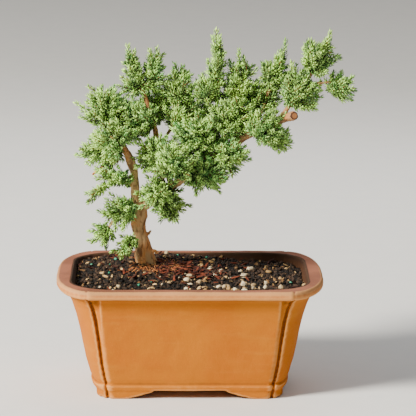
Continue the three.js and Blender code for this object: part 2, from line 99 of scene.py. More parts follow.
class Paint:  # a material and the nodes that feed its shader
    def __init__(self, name, **uniform):
        self.material = bpy.data.materials.new(name)
        self.material.use_nodes = True
        self.tree = self.material.node_tree
        self.shader = self.tree.nodes["Principled BSDF"]
        for socket, value in uniform.items():
            self.shader.inputs[socket.replace("_", " ")].default_value = value

    def node(self, kind, settings=None, inputs=None, out=0):
        node = self.tree.nodes.new("ShaderNode" + kind)
        for key, value in (settings or {}).items():
            setattr(node, key, value)
        for key, value in (inputs or {}).items():
            plug(self.tree, node.inputs[key], value)
        return Flow(self.tree, node.outputs[out])

    def place(self, scale=(1, 1, 1)):
        spot = self.node("TexCoord", out="Object")
        return self.node("VectorMath", {"operation": "MULTIPLY"}, {0: spot, 1: scale})

    def height(self):
        return self.node("SeparateXYZ", inputs={0: self.node("TexCoord", out="Object")}, out="Z")

    def noise(self, scale, detail=3.0, rough=0.55, where=None):
        inputs = {"Vector": where or self.place(), "Scale": scale, "Detail": detail, "Roughness": rough}
        return self.node("TexNoise", inputs=inputs)

    def cells(self, scale, where=None):
        inputs = {"Vector": where or self.place(), "Scale": scale}
        return self.node("TexVoronoi", {"feature": "F1"}, inputs, "Distance")

    def ramp(self, value, low, high, start=0.0, end=1.0):
        inputs = {"Value": value, "From Min": low, "From Max": high, "To Min": start, "To Max": end}
        return self.node("MapRange", {"interpolation_type": "SMOOTHSTEP"}, inputs)

    def mix(self, first, second, factor):
        return self.node("Mix", {"data_type": "RGBA"}, {0: factor, 6: first, 7: second}, 2)

    def tone(self, name):
        return self.node("Attribute", {"attribute_name": name}, out="Fac")

    def bump(self, height, strength, distance):
        inputs = {"Height": height, "Strength": strength, "Distance": distance}
        return self.node("Bump", inputs=inputs, out="Normal")

    def finish(self, **fed):
        for socket, value in fed.items():
            plug(self.tree, self.shader.inputs[socket.replace("_", " ")], value)
        return self.material


def meshFrom(name, points, triangles, smooth=True, tones=None):
    mesh = bpy.data.meshes.new(name)
    mesh.vertices.add(len(points))
    mesh.vertices.foreach_set("co", np.asarray(points, np.float32).ravel())
    mesh.loops.add(3 * len(triangles))
    mesh.loops.foreach_set("vertex_index", np.asarray(triangles, np.int32).ravel())
    mesh.polygons.add(len(triangles))
    mesh.polygons.foreach_set("loop_start", np.arange(0, 3 * len(triangles), 3, dtype=np.int32))
    mesh.polygons.foreach_set("use_smooth", np.full(len(triangles), smooth))
    for label, values in (tones or {}).items():
        layer = mesh.attributes.new(label, "FLOAT", "POINT")
        layer.data.foreach_set("value", np.asarray(values, np.float32))
    mesh.update(calc_edges=True)
    return mesh


def addPiece(name, mesh, material, replaced=()):
    piece = bpy.data.objects.new(name, mesh)
    bpy.context.scene.collection.objects.link(piece)
    mesh.materials.clear()
    mesh.materials.append(material)
    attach(piece, "root")
    if replaced:
        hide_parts(*replaced)


def surfaceOf(name):  # corner points and triangles of a frame node
    mesh = nodes[name].data
    mesh.calc_loop_triangles()
    points = np.zeros(len(mesh.vertices) * 3)
    mesh.vertices.foreach_get("co", points)
    corners = np.zeros(len(mesh.loop_triangles) * 3, np.int32)
    mesh.loop_triangles.foreach_get("vertices", corners)
    return points.reshape(-1, 3), corners.reshape(-1, 3)


def unit(vectors):
    return vectors / np.maximum(np.linalg.norm(vectors, axis=-1, keepdims=True), 1e-12)


def combined(parts):  # joins (points, triangles) pairs
    points, triangles, offset = [], [], 0
    for p, t in parts:
        points.append(p)
        triangles.append(t + offset)
        offset += len(p)
    return np.concatenate(points), np.concatenate(triangles)


def remeshed(name, sources, grow, voxel, passes):  # one even, soft-edged skin over the given nodes
    points, triangles = combined([surfaceOf(s) for s in sources])
    mesh = meshFrom(name, points, triangles)
    if grow:
        normals = np.zeros(len(points) * 3)
        mesh.vertices.foreach_get("normal", normals)
        mesh.vertices.foreach_set("co", (points + normals.reshape(-1, 3) * grow).ravel())
    rough = bpy.data.objects.new(name + "_rough", mesh)
    bpy.context.scene.collection.objects.link(rough)
    fill = rough.modifiers.new("fill", "REMESH")
    fill.mode = "VOXEL"
    fill.voxel_size = voxel
    ease = rough.modifiers.new("ease", "SMOOTH")
    ease.factor = 0.5
    ease.iterations = passes
    bpy.context.view_layer.update()
    fine = bpy.data.meshes.new_from_object(rough.evaluated_get(bpy.context.evaluated_depsgraph_get()))
    bpy.data.objects.remove(rough)
    fine.name = name
    fine.polygons.foreach_set("use_smooth", np.ones(len(fine.polygons), bool))
    return fine


def displaced(mesh, amount):  # amount(point) gives the push along the normal
    count = len(mesh.vertices)
    points = np.zeros(count * 3)
    normals = np.zeros(count * 3)
    mesh.vertices.foreach_get("co", points)
    mesh.vertices.foreach_get("normal", normals)
    points = points.reshape(-1, 3)
    push = np.array([amount(Vector(p)) for p in points])
    mesh.vertices.foreach_set("co", (points + normals.reshape(-1, 3) * push[:, None]).ravel())
    mesh.update()
    return mesh


def markHollows(mesh, passes):  # how far each point lies below its smoothed neighbourhood, in mm
    count = len(mesh.vertices)
    points = np.zeros(count * 3)
    normals = np.zeros(count * 3)
    ends = np.zeros(len(mesh.edges) * 2, np.int32)
    mesh.vertices.foreach_get("co", points)
    mesh.vertices.foreach_get("normal", normals)
    mesh.edges.foreach_get("vertices", ends)
    points, normals, ends = points.reshape(-1, 3), normals.reshape(-1, 3), ends.reshape(-1, 2)
    here = np.concatenate([ends[:, 0], ends[:, 1]])
    there = np.concatenate([ends[:, 1], ends[:, 0]])
    links = np.maximum(np.bincount(here, minlength=count), 1)[:, None]
    smooth = points
    for _ in range(passes):
        smooth = np.stack([np.bincount(here, smooth[there, k], count) for k in range(3)], 1) / links
    depth = np.sum((smooth - points) * normals, 1) / mm
    mesh.attributes.new("hollow", "FLOAT", "POINT").data.foreach_set("value", depth.astype(np.float32))


def tubes(lines, radii, sides):  # lines: (count, steps, 3); radii: (count, steps)
    count, steps, _ = lines.shape
    tangent = unit(np.gradient(lines, axis=1))
    guide = np.where(np.abs(tangent[:, :1, 2:]) < 0.8, np.array([0, 0, 1.0]), np.array([1.0, 0, 0]))
    across = unit(np.cross(tangent, guide))
    other = np.cross(tangent, across)
    turn = np.linspace(0, 2 * math.pi, sides, endpoint=False)
    ring = across[:, :, None] * np.cos(turn)[:, None] + other[:, :, None] * np.sin(turn)[:, None]
    points = lines[:, :, None] + ring * radii[:, :, None, None]
    index = np.arange(count * steps * sides).reshape(count, steps, sides)
    a, b = index[:, :-1], index[:, 1:]
    a2, b2 = np.roll(a, -1, 2), np.roll(b, -1, 2)
    sheets = [np.stack([a, a2, b2], -1), np.stack([a, b2, b], -1)]
    first, last = index[:, 0], index[:, -1]
    caps = [np.stack([first[:, 0], first[:, k + 1], first[:, k]], -1) for k in range(1, sides - 1)]
    caps += [np.stack([last[:, 0], last[:, k], last[:, k + 1]], -1) for k in range(1, sides - 1)]
    return points.reshape(-1, 3), np.concatenate([s.reshape(-1, 3) for s in sheets] + caps)


clay = {
    "body": srgb(174, 101, 16), "warm": srgb(166, 87, 11), "pale": srgb(194, 133, 50),
    # the groove colour is painted shade with dirt, the edge colour a painted highlight with wear
    "grooveShadeDirt": srgb(92, 48, 20), "edgeHighlightWear": srgb(226, 170, 104), "reach": 10,
    # the inner wall colour is painted shade with soil stain
    "specks": srgb(150, 84, 40), "foot": srgb(132, 74, 36), "insideShadeStain": srgb(42, 31, 25),
    "rim": srgb(142, 90, 70), "rimDark": srgb(108, 68, 54), "rimEdge": srgb(172, 104, 52),
    "rimFrom": (80.6 * mm, 82.4 * mm), "rimTopFrom": (84.5 * mm, 87.2 * mm),  # heights of the changes
    # heights and reach of the painted shade with soil stain inside the pot
    "shadeAndStainFrom": (76 * mm, 78 * mm), "shadeAndStainTo": (1.6 * mm, 0.4 * mm), "footTo": (3 * mm, 0.2 * mm),
    "voxel": 0.8 * mm, "passes": 2, "ledge": 11.7 * mm, "frontLedge": 0.85, "corner": 31 * mm,
}


def mouth(paint):  # distance outside the pot's inner edge
    low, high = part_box("pot")
    wide = paint.node("SeparateXYZ", inputs={0: paint.node("TexCoord", out="Object")}, out="X")
    deep = paint.node("SeparateXYZ", inputs={0: paint.node("TexCoord", out="Object")}, out="Y")
    reachX = (high.x - low.x) / 2 - clay["ledge"] - clay["corner"]
    reachY = (high.y - low.y) / 2 - clay["ledge"] * clay["frontLedge"] - clay["corner"]
    x = ((wide - (low.x + high.x) / 2).math("ABSOLUTE") - reachX).math("MAXIMUM", 0.0)
    y = (deep.math("ABSOLUTE") - reachY).math("MAXIMUM", 0.0)
    return (x * x + y * y) ** 0.5 - clay["corner"]


def clayMaterial():
    paint = Paint("clay", Specular_IOR_Level=0.12)
    mottle = paint.noise(22, 4, 0.6)
    grain = paint.noise(900, 4, 0.7)
    specks = paint.cells(620)
    streak = paint.noise(60, 3, 0.6, paint.place((0.35, 0.35, 2.4)))
    body = paint.mix(clay["body"], clay["warm"], paint.ramp(mottle, 0.42, 0.68) * 0.6)
    body = paint.mix(body, clay["pale"], paint.ramp(streak, 0.52, 0.85) * 0.22)
    body = paint.mix(body, clay["pale"], paint.ramp(grain, 0.56, 0.74) * 0.35)
    body = paint.mix(body, clay["specks"], paint.ramp(specks, 0.16, 0.05) * 0.4)
    rim = paint.mix(clay["rim"], clay["rimDark"], paint.ramp(mottle, 0.4, 0.62) * 0.7)
    rim = paint.mix(rim, clay["rimEdge"], paint.ramp(grain, 0.5, 0.7) * 0.45)
    edge = paint.height() + (mottle - 0.5) * (2.5 * mm)
    rim = paint.mix(clay["rimEdge"], rim, paint.ramp(edge, *clay["rimTopFrom"]))
    color = paint.mix(body, rim, paint.ramp(edge, *clay["rimFrom"]))
    color = paint.mix(color, clay["foot"], paint.ramp(paint.height(), *clay["footTo"]) * 0.5)
    hollow = paint.tone("hollow")  # painted shade and some dirt darken the grooves; a painted highlight with some wear lightens convex edges
    # painted shade with a little dirt in the grooves
    color = paint.mix(color, clay["grooveShadeDirt"], paint.ramp(hollow + (grain - 0.5) * 0.1, 0.05, 0.45) * 0.65)
    # painted highlight with some wear on convex edges
    color = paint.mix(color, clay["edgeHighlightWear"], paint.ramp(hollow + (grain - 0.5) * 0.2, -0.08, -0.4) * 0.4)
    # painted shade with soil stain: the inner wall above the soil goes near black
    soiled = paint.ramp(mouth(paint) + (mottle - 0.5) * (2 * mm), *clay["shadeAndStainTo"])
    color = paint.mix(color, clay["insideShadeStain"], soiled * paint.ramp(paint.height(), *clay["shadeAndStainFrom"]) * 0.92)
    normal = paint.bump(grain * 0.7 + specks * 0.5 + mottle * 0.4, 0.35, 0.25 * mm)
    rough = paint.ramp(grain, 0.3, 0.7, 0.72, 0.9)
    return paint.finish(Base_Color=color, Roughness=rough, Normal=normal)


def handMade(point):  # slight unevenness of a pressed pot, none under the feet
    slow = noise.noise(point * 38) * 0.32 + noise.noise(point * 110) * 0.14
    fine = noise.noise(point * 420) * 0.05
    stands = min(1.0, max(0.0, (point.z - 2 * mm) / (6 * mm)))
    return (slow * stands + fine) * mm


potMesh = displaced(remeshed("clay_pot", ["pot"], 0, clay["voxel"], clay["passes"]), handMade)
markHollows(potMesh, clay["reach"])
addPiece("clay_pot", potMesh, clayMaterial(), ["pot"])
print("pot", len(potMesh.polygons))


screen = {"plastic": srgb(40, 44, 44), "dusty": srgb(84, 78, 70)}


def screenMaterial():
    paint = Paint("screen_plastic", Specular_IOR_Level=0.4)
    scuff = paint.noise(500, 3)
    color = paint.mix(screen["plastic"], screen["dusty"], paint.ramp(scuff, 0.5, 0.75))
    normal = paint.bump(paint.noise(1800, 2), 0.3, 0.1 * mm)
    return paint.finish(Base_Color=color, Roughness=paint.ramp(scuff, 0.3, 0.7, 0.45, 0.7), Normal=normal)


screenLook = screenMaterial()
for side in ("left", "right"):
    grid = nodes["drain_screen_" + side]
    grid.data.materials.clear()
    grid.data.materials.append(screenLook)
print("drain screens done")


bark = {
    "pale": srgb(206, 166, 118), "tan": srgb(218, 148, 86), "fibre": srgb(232, 190, 134),
    "crack": srgb(100, 62, 38), "weathered": srgb(116, 98, 80), "young": srgb(118, 76, 50),
    "youngFrom": (150 * mm, 200 * mm), "voxel": 0.5 * mm, "passes": 3, "grow": 0.25 * mm,
}
woodNames = ["trunk", "limb_right", "leader"] + sorted(n for n in nodes if n.startswith("branch_"))


def barkMaterial():
    paint = Paint("bark", Specular_IOR_Level=0.2)
    long = paint.place((1, 1, 0.28))
    sway = paint.node("VectorMath", {"operation": "SCALE"}, {0: paint.noise(260, 2), "Scale": 0.004})
    flakes = paint.cells(330, paint.node("VectorMath", {"operation": "ADD"}, {0: long, 1: sway}))
    patch = paint.noise(120, 3, 0.6, long)
    fibre = paint.noise(900, 4, 0.7, paint.place((1, 1, 0.12)))
    color = paint.mix(bark["pale"], bark["tan"], paint.ramp(patch, 0.45, 0.62))
    color = paint.mix(color, bark["fibre"], paint.ramp(fibre, 0.52, 0.72) * 0.6)
    color = paint.mix(color, bark["crack"], paint.ramp(flakes, 0.55, 0.85) * 0.65)
    color = paint.mix(color, bark["weathered"], paint.ramp(paint.noise(45, 2), 0.55, 0.7) * 0.4)
    color = paint.mix(color, bark["young"], paint.ramp(paint.height(), *bark["youngFrom"]) * 0.6)
    normal = paint.bump(fibre * 0.5 - flakes, 0.7, 0.6 * mm)
    return paint.finish(Base_Color=color, Roughness=paint.ramp(fibre, 0.3, 0.7, 0.7, 0.92), Normal=normal)


def flaky(point):  # long plates of bark that lift a little
    tall = Vector((point.x * 260, point.y * 260, point.z * 80))
    plates = abs(noise.noise(tall)) * 0.75 - 0.25
    grain = noise.noise(Vector((point.x * 900, point.y * 900, point.z * 220))) * 0.14
    return (plates + grain + noise.noise(point * 120) * 0.3) * mm


woodMesh = displaced(remeshed("tree_wood", woodNames, bark["grow"], bark["voxel"], bark["passes"]), flaky)
addPiece("tree_wood", woodMesh, barkMaterial(), woodNames)
print("wood", len(woodMesh.polygons))


rootWood = {
    "red": srgb(150, 88, 50), "tan": srgb(196, 132, 82), "soiled": srgb(70, 42, 28),
    "voxel": 0.4 * mm, "passes": 3, "grow": 0.2 * mm,
}


def rootMaterial():
    paint = Paint("root_bark", Specular_IOR_Level=0.2)
    fibre = paint.noise(700, 4, 0.7)
    color = paint.mix(rootWood["red"], rootWood["tan"], paint.ramp(fibre, 0.4, 0.62))
    color = paint.mix(color, rootWood["soiled"], paint.ramp(paint.noise(180, 3), 0.52, 0.7))
    return paint.finish(Base_Color=color, Roughness=paint.ramp(fibre, 0.3, 0.7, 0.7, 0.9),
                        Normal=paint.bump(fibre, 0.6, 0.3 * mm))


rootLook = rootMaterial()
for name in sorted(n for n in nodes if n.startswith("root_")):
    rootMesh = remeshed(name + "_wood", [name], rootWood["grow"], rootWood["voxel"], rootWood["passes"])
    addPiece(name + "_wood", displaced(rootMesh, flaky), rootLook, [name])
print("surface roots done")


deadWood = {
    "orange": srgb(206, 124, 58), "brown": srgb(120, 70, 38),
    "voxel": 0.35 * mm, "passes": 2, "grow": 0.1 * mm,
}


def deadMaterial():
    paint = Paint("dead_wood", Specular_IOR_Level=0.2)
    grain = paint.noise(600, 3, 0.6, paint.place((1, 1, 0.4)))
    color = paint.mix(deadWood["orange"], deadWood["brown"], paint.ramp(grain, 0.42, 0.66))
    rough = paint.ramp(grain, 0.3, 0.7, 0.65, 0.85)
    return paint.finish(Base_Color=color, Roughness=rough, Normal=paint.bump(grain, 0.5, 0.3 * mm))


deadMesh = remeshed("dead_twig_wood", ["dead_twig"], deadWood["grow"], deadWood["voxel"], deadWood["passes"])
addPiece("dead_twig_wood", displaced(deadMesh, flaky), deadMaterial(), ["dead_twig"])
print("dead twig done")


sawn = {
    "wood": srgb(158, 106, 66), "ring": srgb(116, 72, 44), "shadedRind": srgb(66, 40, 28),
    "aim": (0.3, -0.93, 0.2), "nearTip": 5 * mm, "radius": 3.1 * mm, "stands": 0.75 * mm, "lip": 0.9 * mm,
    "rings": 7, "sides": 28, "shadedRindFrom": (1.7 * mm, 2.7 * mm),
}


def sawnPlace():  # middle of the flat cut at the tip of the big limb, and the way it faces
    points, triangles = surfaceOf("limb_right")
    a, b, c = (points[triangles[:, k]] for k in range(3))
    cross = np.cross(b - a, c - a)
    area = np.linalg.norm(cross, axis=1)
    middle = (a + b + c) / 3
    aim = unit(np.array(sawn["aim"]))
    cut = (unit(cross) @ aim > 0.8) & (middle[:, 1] < points[:, 1].min() + sawn["nearTip"])
    return (middle[cut] * area[cut, None]).sum(0) / area[cut].sum(), unit(cross[cut].sum(0))


def sawnMaterial(centre):
    paint = Paint("sawn_wood", Specular_IOR_Level=0.2)
    spot = paint.node("TexCoord", out="Object")
    away = paint.node("VectorMath", {"operation": "DISTANCE"}, {0: spot, 1: Vector(centre)}, "Value")
    ring = (away * 9000 + paint.noise(300, 2) * 3).math("SINE")
    color = paint.mix(sawn["wood"], sawn["ring"], paint.ramp(ring, 0.0, 1.0) * 0.6)
    # bark rind with painted shade: the outer ring of the cut face goes dark brown
    color = paint.mix(color, sawn["shadedRind"], paint.ramp(away, *sawn["shadedRindFrom"]))
    rough = paint.ramp(ring, 0, 1, 0.7, 0.85)
    return paint.finish(Base_Color=color, Roughness=rough, Normal=paint.bump(ring, 0.3, 0.1 * mm))


def sawnEnd():
    centre, facing = sawnPlace()
    across = unit(np.cross(facing, [0, 0, 1]))
    other = np.cross(facing, across)
    rings, sides = sawn["rings"], sawn["sides"]
    disc = [centre + facing * sawn["stands"]]
    for r in range(1, rings + 1):
        reach = sawn["radius"] * min(r, rings - 0.6) / (rings - 0.6)
        lift = sawn["stands"] - sawn["lip"] * max(0, r - rings + 1)  # the last ring turns down into the bark
        for s in range(sides):
            turn = 2 * math.pi * s / sides
            wobble = 1 + 0.06 * math.sin(3 * turn + 1) + 0.03 * math.sin(7 * turn)
            spot = across * math.cos(turn) + other * math.sin(turn)
            disc.append(centre + spot * reach * wobble + facing * lift)
    faces = [[0, 1 + s, 1 + (s + 1) % sides] for s in range(sides)]
    for r in range(rings - 1):
        for s in range(sides):
            p, q = 1 + r * sides + s, 1 + r * sides + (s + 1) % sides
            faces += [[p, p + sides, q], [q, p + sides, q + sides]]
    addPiece("sawn_end", meshFrom("sawn_end", disc, faces), sawnMaterial(centre))


sawnEnd()
print("sawn end done")


spray = {
    "spacing": 4.7 * mm, "tries": 9, "inset": -0.7 * mm, "ragged": 2.0 * mm, "inner": 0.6, "steps": 7,
    "crownMiddle": np.array([-30, 5, 165]) * mm, "outward": 0.25, "upward": 3 * mm, "seed": 5,
}
needle = {
    "whorl": 1.55 * mm, "green": 22 * mm, "length": 4.6 * mm, "width": 0.66 * mm, "thick": 0.45 * mm,
    "round": [0, 2.094, 4.189], "twist": 1.047,  # places in a whorl of three and the turn to the next whorl
    "open": 56, "closed": 32, "shorter": 0.35,  # towards the tip of a shoot needles close up and shorten
    "low": srgb(30, 88, 26), "high": srgb(160, 224, 76), "blue": srgb(84, 172, 88),
    # the darkest green is painted shade deep inside the shoots
    "lime": srgb(174, 214, 66), "band": srgb(218, 254, 146), "innerShade": srgb(7, 30, 9), "base": srgb(44, 62, 26),
}
twig = {
    "brown": srgb(104, 72, 42), "tan": srgb(140, 98, 54), "green": srgb(76, 98, 44), "sag": 2 * mm,
    "shoot": (0.55 * mm, 0.25 * mm), "spine": (0.9 * mm, 0.5 * mm), "link": (1 * mm, 0.8 * mm),  # end radii
}


def spread(points, normals, gap, rng):  # random points with at least the gap between them
    kept = []
    for i in rng.permutation(len(points)):
        if not kept or np.min(np.linalg.norm(points[kept] - points[i], axis=1)) > gap:
            kept.append(i)
    return points[kept], normals[kept]


def shootTips(points, triangles, rng):  # on the pad's skin, and some further in towards its centre
    a, b, c = (points[triangles[:, k]] for k in range(3))
    cross = np.cross(b - a, c - a)
    area = np.linalg.norm(cross, axis=1) / 2
    centre = ((a + b + c) / 3 * area[:, None]).sum(0) / area.sum()
    count = int(area.sum() / spray["spacing"] ** 2 * spray["tries"])
    pick = rng.choice(len(area), count, p=area / area.sum())
    u, v = rng.random((2, count))
    u, v = np.where(u + v > 1, 1 - u, u), np.where(u + v > 1, 1 - v, v)
    spots = a[pick] + (b - a)[pick] * u[:, None] + (c - a)[pick] * v[:, None]
    tips, outward = spread(spots, unit(cross)[pick], spray["spacing"], rng)
    tips = tips - outward * rng.normal(spray["inset"], spray["ragged"], (len(tips), 1))
    inner = tips[rng.random(len(tips)) < spray["inner"]]
    inner = centre + (inner - centre) * rng.uniform(0.5, 0.8, (len(inner), 1))
    inner = inner + rng.normal(0, 2 * mm, inner.shape)
    return centre, np.concatenate([tips, inner])


# Shoots leave a spine that runs from the nearest wood through the pad, and curve out to their tips.
def shootLines(name, rng):
    points, triangles = surfaceOf(name)
    centre, tips = shootTips(points, triangles, rng)
    near = woodPoints[np.argmin(np.linalg.norm(woodPoints - centre, axis=1))]
    outward = (centre - spray["crownMiddle"]) * spray["outward"]
    ahead = unit(centre - near + outward + np.array([0, 0, spray["upward"]]))
    along = (tips - centre) @ ahead
    off = np.linalg.norm(tips - centre - along[:, None] * ahead, axis=1)
    reach = np.linalg.norm(points - centre, axis=1).mean()
    stem = np.clip(along - off * rng.uniform(0.5, 1.1, len(tips)) - 3 * mm, -0.9 * reach, 0.7 * reach)
    roots = centre + stem[:, None] * ahead + rng.normal(0, 0.6 * mm, tips.shape)
    length = np.linalg.norm(tips - roots, axis=1, keepdims=True)
    bow = rng.normal(0, 0.09, (len(tips), 3)) * length - np.array([0, 0, 0.1]) * length
    t = np.linspace(0, 1, spray["steps"])[None, :, None]
    elbow = (roots + tips)[:, None] / 2 + bow[:, None]
    lines = roots[:, None] * (1 - t) ** 2 + elbow * 2 * t * (1 - t) + tips[:, None] * t ** 2
    spine = centre + ahead * np.linspace(-0.9, 0.75, 6)[:, None] * reach
    return near, spine, lines, length[:, 0]


def needleCloud(lines, length, rng):  # foot, shoot direction, aim and length of every needle
    feet, axes, share, tint = [], [], [], []
    for line, size in zip(lines, length):
        start = max(0.12, 1 - needle["green"] * rng.uniform(0.8, 1.2) / size)
        stops = np.arange(start * size, size, needle["whorl"])
        where = stops / size * (len(line) - 1)
        low = np.minimum(where.astype(int), len(line) - 2)
        step = line[low + 1] - line[low]
        feet.append(line[low] + step * (where - low)[:, None])
        axes.append(unit(step))
        share.append(1 - (size - stops) / needle["green"])
        tint.append(np.full(len(stops), rng.random()))
    rows = [np.concatenate(x) for x in (feet, axes, share, tint)]
    rows.append(np.arange(len(rows[0])))
    feet, axes, share, tint, whorl = (np.repeat(x, 3, axis=0) for x in rows)
    count = len(feet)
    turn = np.tile(needle["round"], count // 3) + whorl * needle["twist"] + rng.normal(0, 0.25, count)
    guide = np.where(np.abs(axes[:, 2:]) < 0.8, np.array([0, 0, 1.0]), np.array([1.0, 0, 0]))
    across = unit(np.cross(axes, guide))
    radial = across * np.cos(turn)[:, None] + np.cross(axes, across) * np.sin(turn)[:, None]
    tipward = np.clip(share, 0, 1) ** 3
    lean = np.radians(needle["open"] - needle["closed"] * tipward) + rng.normal(0, 0.14, count)
    aim = axes * np.cos(lean)[:, None] + radial * np.sin(lean)[:, None]
    size = needle["length"] * rng.uniform(0.78, 1.15, count) * (1 - needle["shorter"] * tipward)
    return feet + radial * 0.3 * mm, axes, aim, size, share, tint


def needleMesh(name, feet, axes, aim, size, share, tint, rng):  # one closed, keeled needle for every foot
    side = unit(np.cross(aim, axes))
    under = np.cross(side, aim)  # away from the shoot
    under = np.where((np.sum(under * axes, 1) > 0)[:, None], -under, under)
    w, d = needle["width"] * rng.uniform(0.85, 1.2, (len(feet), 1)), needle["thick"]
    mid = feet + aim * (size * 0.5)[:, None] + under * 0.35 * mm
    tip = feet + unit(aim + axes * 0.12) * size[:, None]
    rows = [feet - side * w * 0.6, feet + side * w * 0.6, feet + under * d,
            mid - side * w, mid + side * w, mid + under * d * 1.1, tip]
    points = np.stack(rows, 1)
    cell = np.array([[0, 1, 4], [0, 4, 3], [1, 2, 5], [1, 5, 4], [2, 0, 3], [2, 3, 5],
                     [3, 4, 6], [4, 5, 6], [5, 3, 6]])
    triangles = cell[None] + 7 * np.arange(len(feet))[:, None, None]
    tones = {
        "tone": np.repeat(tint * 0.5 + rng.random(len(feet)) * 0.5, 7),
        "band": np.tile([0.5, 0.5, 0, 1, 1, 0, 0.7], len(feet)),
        "along": np.tile([0, 0, 0, 0.5, 0.5, 0.5, 1], len(feet)),
        # share along the shoot, which sets the painted shade
        "shootShare": np.repeat(np.clip(share, 0, 1), 7),
    }
    return meshFrom(name, points.reshape(-1, 3), triangles.reshape(-1, 3), True, tones)


def needleMaterial():
    paint = Paint("needles", Specular_IOR_Level=0.45)
    tone = paint.tone("tone")
    patch = paint.noise(55, 2)
    blue = paint.noise(30, 2)
    shootShare = paint.tone("shootShare")
    color = paint.mix(needle["low"], needle["high"], paint.ramp(tone, 0.28, 0.78))
    color = paint.mix(color, needle["blue"], paint.ramp(blue, 0.5, 0.66) * 0.5)
    color = paint.mix(color, needle["lime"], paint.ramp(patch, 0.54, 0.7) * 0.5)
    color = paint.mix(color, needle["band"], paint.tone("band") * (tone * 0.95))
    # painted shade: needles near the start of each shoot's green part go almost black
    color = paint.mix(needle["innerShade"], color, paint.ramp(shootShare, 0.22, 0.95))
    color = paint.mix(needle["base"], color, paint.ramp(paint.tone("along"), -0.15, 0.4))
    rough = paint.ramp(tone, 0, 1, 0.4, 0.55)
    normal = paint.bump(paint.noise(2500, 2), 0.2, 0.05 * mm)
    return paint.finish(Base_Color=color, Roughness=rough, Normal=normal)


def twigMaterial():
    paint = Paint("twig_bark", Specular_IOR_Level=0.2)
    grain = paint.noise(500, 3)
    color = paint.mix(twig["brown"], twig["tan"], paint.ramp(grain, 0.4, 0.6))
    color = paint.mix(color, twig["green"], paint.ramp(paint.noise(80, 2), 0.42, 0.56) * 0.8)
    return paint.finish(Base_Color=color, Roughness=paint.ramp(grain, 0.3, 0.7, 0.7, 0.9),
                        Normal=paint.bump(grain, 0.4, 0.2 * mm))


def padTwigs(near, spine, lines):  # twigs of the shoots, their spine and its link to the nearest wood
    t = np.linspace(0, 1, 5)[None, :, None]
    sag = np.array([0, 0, -twig["sag"]]) * np.sin(math.pi * t)
    thin = np.linspace(*twig["shoot"], lines.shape[1])[None] * np.ones((len(lines), 1))
    return [tubes(lines, thin, 5), tubes(spine[None], np.linspace(*twig["spine"], len(spine))[None], 6),
            tubes(near + (spine[0] - near) * t + sag, np.linspace(*twig["link"], 5)[None], 6)]


needleLook = needleMaterial()
woodPoints = np.concatenate([surfaceOf(n)[0] for n in woodNames])
twigParts = []
needleCount = 0
for number, name in enumerate(sorted(n for n in nodes if n.startswith("foliage_"))):
    rng = np.random.default_rng(spray["seed"] * 1000 + number)
    near, spine, lines, length = shootLines(name, rng)
    feet, axes, aim, size, share, tint = needleCloud(lines, length, rng)
    mesh = needleMesh(name + "_needles", feet, axes, aim, size, share, tint, rng)
    needleCount += len(feet)
    addPiece(name + "_needles", mesh, needleLook, [name])
    twigParts += padTwigs(near, spine, lines)
twigPoints, twigFaces = combined(twigParts)
addPiece("fine_twigs", meshFrom("fine_twigs", twigPoints, twigFaces), twigMaterial())
print("foliage needles", needleCount, "twig faces", len(twigFaces))


ground = {
    "low": srgb(22, 17, 14), "high": srgb(46, 35, 28), "dark": srgb(9, 7, 6), "seed": 11, "kinds": 9,
    "surfaceFrom": 70 * mm, "voxel": 1.0 * mm, "passes": 1, "grow": 0.1 * mm,
}
soilRay = BVHTree.FromPolygons(*[x.tolist() for x in surfaceOf("soil")])
lowSoil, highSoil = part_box("soil")
trunkFoot = surfaceOf("trunk")[0]
trunkFoot = trunkFoot[trunkFoot[:, 2] < highSoil.z].mean(0)


def soilPaint(name, first, second, dark, scale):
    paint = Paint(name, Specular_IOR_Level=0.25)
    grain = paint.noise(scale, 4, 0.65)
    tone = paint.tone("tone")
    color = paint.mix(first, second, paint.ramp(tone + (grain - 0.5) * 0.8, 0.15, 0.85))
    color = paint.mix(color, dark, paint.ramp(paint.noise(scale * 0.4, 3), 0.5, 0.68) * 0.6)
    normal = paint.bump(grain + paint.cells(scale) * 0.5, 0.7, 0.4 * mm)
    return paint.finish(Base_Color=color, Roughness=paint.ramp(grain, 0.3, 0.7, 0.75, 0.95), Normal=normal)


def onSoil(x, y):
    hit = soilRay.ray_cast(Vector((x, y, 0.2)), Vector((0, 0, -1)))
    return hit[0].z if hit[0] and hit[0].z > ground["surfaceFrom"] else None


